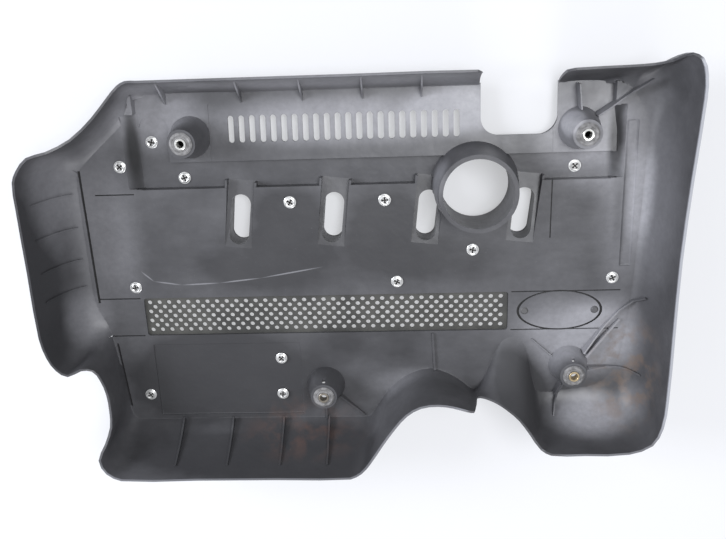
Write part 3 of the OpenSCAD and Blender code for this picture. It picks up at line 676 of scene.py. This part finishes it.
class COVER_OT_sleeves(bpy.types.Operator):
    """Turn a flanged metal sleeve and set one in each grommet"""
    bl_idname = "cover.sleeves"
    bl_label = "Metal sleeves"

    def execute(self, context):
        look = context.scene.cover_sleeves
        # Countersunk bore, rolled flange and plain tube; levels are from the flange's foot
        master = turned_ring("sleeve", [
            (3.3, -7.4), (3.3, 0.6), (3.7, 1.1), (4.7, 1.18), (5.15, 0.85), (5.2, 0.25), (5.0, 0.02),
            (4.6, 0.0), (4.6, -7.1), (4.3, -7.45)])
        zinc = plated_metal("zinc-plated steel sleeve", look.zinc, 0.3, 0.3)
        finishes = {1: ("sleeve_steel", zinc), 2: ("sleeve_steel", zinc),
                    3: ("sleeve_steel", plated_metal("tarnished steel", look.brown, 0.42, 0.8)),
                    4: ("sleeve_brass", plated_metal("tarnished brass", look.brass, 0.4, 0.5))}
        for k, (slot, metal) in finishes.items():
            node = f"sleeve_{k}"
            sleeve = placed_copy(master, node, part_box(node)[1][2] - SLEEVE_RISE * MM)
            finish_piece(sleeve, node + "_turned", metal, node)
        bpy.data.objects.remove(master)
        return {"FINISHED"}


def plated_metal(name, colour, rough, tarnish, shade_and_grime=None):
    """Plated or bare metal with light tarnish, and painted shade and grime where the piece is marked for it.
    """
    # Bright plating dulled in spots of 1 to 3 mm, with painted shade and grime in what lies deep
    material, tree, shader = new_material(name)
    dull = blotches(tree, 2.5, 0.42, 0.66, 0.0, tarnish)
    shade = add(tree, "ShaderNodeMix", {"data_type": "RGBA"},
                {0: dull, 6: colour, 7: hex_colour(TARNISH)})[2]
    if shade_and_grime is not None:
        pit = add(tree, "ShaderNodeAttribute", {"attribute_name": "shade_and_grime"})["Fac"]
        shade = add(tree, "ShaderNodeMix", {"data_type": "RGBA"}, {0: pit, 6: shade, 7: shade_and_grime})[2]
        metal = add(tree, "ShaderNodeMapRange", None, {"Value": pit, "To Min": 0.75, "To Max": 0.0})[0]
        tree.links.new(metal, shader.inputs["Metallic"])
    else:
        shader.inputs["Metallic"].default_value = 0.8
    tree.links.new(shade, shader.inputs["Base Color"])
    tree.links.new(add(tree, "ShaderNodeMapRange", None,
                       {"Value": dull, "To Min": rough - 0.05, "To Max": rough + 0.2})[0],
                   shader.inputs["Roughness"])
    return material


class COVER_OT_screws(bpy.types.Operator):
    """Model one washer-head screw with a cross recess, and drive a copy in each place"""
    bl_idname = "cover.screws"
    bl_label = "Trim screws"

    def execute(self, context):
        look = context.scene.cover_screws
        master = self.head(look.head)
        self.recess(master)
        self.mark_shade_and_grime(master)
        zinc = plated_metal("zinc-plated steel screw", look.zinc, 0.34, 0.12, look.shade_and_grime)
        for k in range(1, SCREWS + 1):
            node = f"screw_{k}"
            # Each stopped at its own turn
            screw = placed_copy(master, node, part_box(node)[1][2] - SCREW_RISE * MM, 37.0 * k)
            finish_piece(screw, node + "_plated", zinc, node)
        bpy.data.objects.remove(master)
        return {"FINISHED"}

    def head(self, radius):
        """A washer, a pan head on it with a dished top, and the shank below."""
        bpy.ops.object.select_all(action="DESELECT")
        bpy.ops.mesh.primitive_cylinder_add(vertices=48, radius=radius, depth=WASHER * MM,
                                            location=(0, 0, WASHER / 2 * MM))
        screw = bpy.context.object
        bpy.ops.object.transform_apply(location=True)
        bpy.ops.object.mode_set(mode="EDIT")
        top_face(screw)
        for inset, rise in HEAD_STEPS:
            bpy.ops.mesh.inset(thickness=inset * MM, depth=0.0)
            bpy.ops.transform.translate(value=(0, 0, rise * MM))
        bpy.ops.mesh.select_all(action="DESELECT")
        bpy.ops.object.mode_set(mode="OBJECT")
        under = [face for face in screw.data.polygons if face.normal.z < -0.9]
        min(under, key=lambda face: face.center.z).select = True
        bpy.ops.object.mode_set(mode="EDIT")
        # The shank ends in a chamfer
        bpy.ops.mesh.inset(thickness=radius - SHANK_RADIUS * MM, depth=0.0)
        bpy.ops.mesh.extrude_region_move(TRANSFORM_OT_translate={"value": (0, 0, -SHANK_LENGTH * MM)})
        bpy.ops.mesh.inset(thickness=0.4 * MM, depth=0.0)
        bpy.ops.transform.translate(value=(0, 0, -0.45 * MM))
        bpy.ops.object.mode_set(mode="OBJECT")
        return screw

    def recess(self, screw):
        """A cross with a round lobe at the end of each arm is cut into the head."""
        for turn in (0, 90):
            cut_away(screw, block(-3.0, -0.65, 0.9, 3.0, 0.65, 3.4, turn=turn))
        for turn in (0, 90, 180, 270):
            bpy.ops.object.select_all(action="DESELECT")
            x, y = LOBE_OUT * math.cos(math.radians(turn)), LOBE_OUT * math.sin(math.radians(turn))
            bpy.ops.mesh.primitive_cone_add(vertices=20, radius1=0.75 * MM, radius2=1.3 * MM, depth=2.4 * MM,
                                            location=(x * MM, y * MM, 2.0 * MM))
            lobe = bpy.context.object
            bpy.ops.object.transform_apply(location=True)
            cut_away(screw, lobe)

    def mark_shade_and_grime(self, screw):
        """Marks the recess as full of painted shade and grime, and the dish round it as partly so."""
        shade_and_grime = screw.data.attributes.new("shade_and_grime", "FLOAT", "POINT")
        for vertex in screw.data.vertices:
            out = math.hypot(vertex.co.x, vertex.co.y)
            deep = out < RECESS_OUT * MM and 0 < vertex.co.z < RECESS_TOP * MM
            dished = out < DISH_OUT * MM and vertex.co.z > 0
            shade_and_grime.data[vertex.index].value = 1.0 if deep else 0.4 if dished else 0.0


# A screw in millimetres: its washer's thickness, then the inset and rise of each step up the head, which are
# the washer's rounded edge and flat, the head's wall, shoulder and crown, and the dish in its top
WASHER = 0.8
HEAD_STEPS = ((0.25, 0.15), (0.75, 0.0), (0.05, 0.75), (0.35, 0.45), (0.6, 0.22), (0.35, -0.1), (0.7, -0.35))
SHANK_RADIUS = 1.8
SHANK_LENGTH = 10.5
# How far out the lobes' middles, the recess's own vertices and the dish lie, and the recess's top level
LOBE_OUT = 2.3
RECESS_OUT = 3.4
DISH_OUT = 3.75
RECESS_TOP = 1.65


class COVER_OT_stage(bpy.types.Operator):
    """Lay the floor, set the lamps and the world, and place the camera"""
    bl_idname = "cover.stage"
    bl_label = "Floor, lamps and camera"

    def execute(self, context):
        look = context.scene.cover_stage
        self.camera(context)
        self.floor(look)
        world = bpy.data.worlds.new("soft studio")
        world.use_nodes = True
        sky = world.node_tree.nodes["Background"]
        sky.inputs["Color"].default_value = hex_colour("F7F9FF")
        sky.inputs["Strength"].default_value = look.sky
        context.scene.world = world
        self.lamp("window lamp", (0.5, 0.5, 1.9), look.window, "FBFCFF")
        self.lamp("side lamp", (-1.5, 0.45, 1.0), look.side, "F4F7FF")
        self.lamp("front lamp", (0.3, -1.6, 0.8), look.front, "FBFBFF")
        context.scene.view_settings.view_transform = "Standard"
        return {"FINISHED"}

    def floor(self, look):
        """A wide pale floor that keeps the shadow."""
        bpy.ops.object.select_all(action="DESELECT")
        bpy.ops.mesh.primitive_plane_add(size=look.floor_size, location=(0, 0, CAD_BOX[0][2] - 0.5 * MM))
        floor = bpy.context.object
        floor.name = "studio_floor"
        # Matt pale board, part of whose brightness is its own, as a lit backdrop's is
        material, tree, shader = new_material("pale painted board")
        shader.inputs["Base Color"].default_value = look.floor
        shader.inputs["Roughness"].default_value = 0.85
        path = add(tree, "ShaderNodeLightPath")
        gloss = add(tree, "ShaderNodeMath", {"operation": "MULTIPLY"},
                    {0: path["Is Glossy Ray"], 1: GLOSS_SHARE})[0]
        seen = add(tree, "ShaderNodeMath", {"operation": "MAXIMUM"}, {0: path["Is Camera Ray"], 1: gloss})[0]
        seen = add(tree, "ShaderNodeMath", {"operation": "MAXIMUM"},
                   {0: path["Is Transmission Ray"], 1: seen})[0]
        share = add(tree, "ShaderNodeMath", {"operation": "MULTIPLY"}, {0: seen, 1: FLOOR_GLOW})[0]
        glow = add(tree, "ShaderNodeEmission", None, {"Color": hex_colour("F3F4F6"), "Strength": 1.0})[0]
        both = add(tree, "ShaderNodeMixShader", None, {0: share, 1: shader.outputs[0], 2: glow})[0]
        tree.links.new(both, tree.nodes["Material Output"].inputs["Surface"])
        floor.data.materials.append(material)

    def lamp(self, name, place, power, code):
        """A square soft lamp that faces the cover."""
        data = bpy.data.lights.new(name, "AREA")
        data.size = LAMP_SIZE
        data.energy = power
        data.color = hex_colour(code)[:3]
        lamp = bpy.data.objects.new(name, data)
        lamp.location = place
        lamp.rotation_euler = (-Vector(place)).to_track_quat("-Z", "Y").to_euler()
        bpy.context.scene.collection.objects.link(lamp)

    def camera(self, context):
        """The photograph's own viewpoint, 0.79 m from the cover."""
        data = bpy.data.cameras.new("photo camera")
        data.sensor_width = 36.0
        data.lens = PHOTO_FOCAL / PHOTO_WIDTH * data.sensor_width
        data.clip_start = 0.02
        camera = bpy.data.objects.new("photo camera", data)
        forward = PHOTO_FORWARD.normalized()
        up = PHOTO_RIGHT.cross(forward).normalized()
        turn = Matrix((forward.cross(up), up, -forward)).transposed()
        camera.matrix_world = Matrix.Translation(PHOTO_PLACE_MM * MM) @ turn.to_4x4()
        context.scene.collection.objects.link(camera)
        context.scene.camera = camera


SETTINGS = (("cover_shell", CoverShellSettings, COVER_OT_shell),
            ("cover_panels", CoverPanelSettings, COVER_OT_panels),
            ("cover_grommets", CoverGrommetSettings, COVER_OT_grommets),
            ("cover_sleeves", CoverSleeveSettings, COVER_OT_sleeves),
            ("cover_screws", CoverScrewSettings, COVER_OT_screws),
            ("cover_stage", CoverStageSettings, COVER_OT_stage))


class COVER_PT_panel(bpy.types.Panel):
    """Engine cover steps"""
    bl_idname = "COVER_PT_panel"
    bl_label = "Engine Cover"
    bl_space_type = "VIEW_3D"
    bl_region_type = "UI"
    bl_category = "Engine Cover"

    def draw(self, context):
        for name, group, step in SETTINGS:
            box = self.layout.box()
            for key in group.__annotations__:
                box.prop(getattr(context.scene, name), key)
            box.operator(step.bl_idname)


def register():
    for name, group, step in SETTINGS:
        bpy.utils.register_class(group)
        bpy.utils.register_class(step)
        setattr(bpy.types.Scene, name, bpy.props.PointerProperty(type=group))
    bpy.utils.register_class(COVER_PT_panel)


def unregister():
    bpy.utils.unregister_class(COVER_PT_panel)
    for name, group, step in reversed(SETTINGS):
        delattr(bpy.types.Scene, name)
        bpy.utils.unregister_class(step)
        bpy.utils.unregister_class(group)


def main():
    register()
    bpy.ops.cover.shell()
    bpy.ops.cover.panels()
    bpy.ops.cover.grommets()
    bpy.ops.cover.sleeves()
    bpy.ops.cover.screws()
    bpy.ops.cover.stage()


if __name__ == "__main__":
    main()
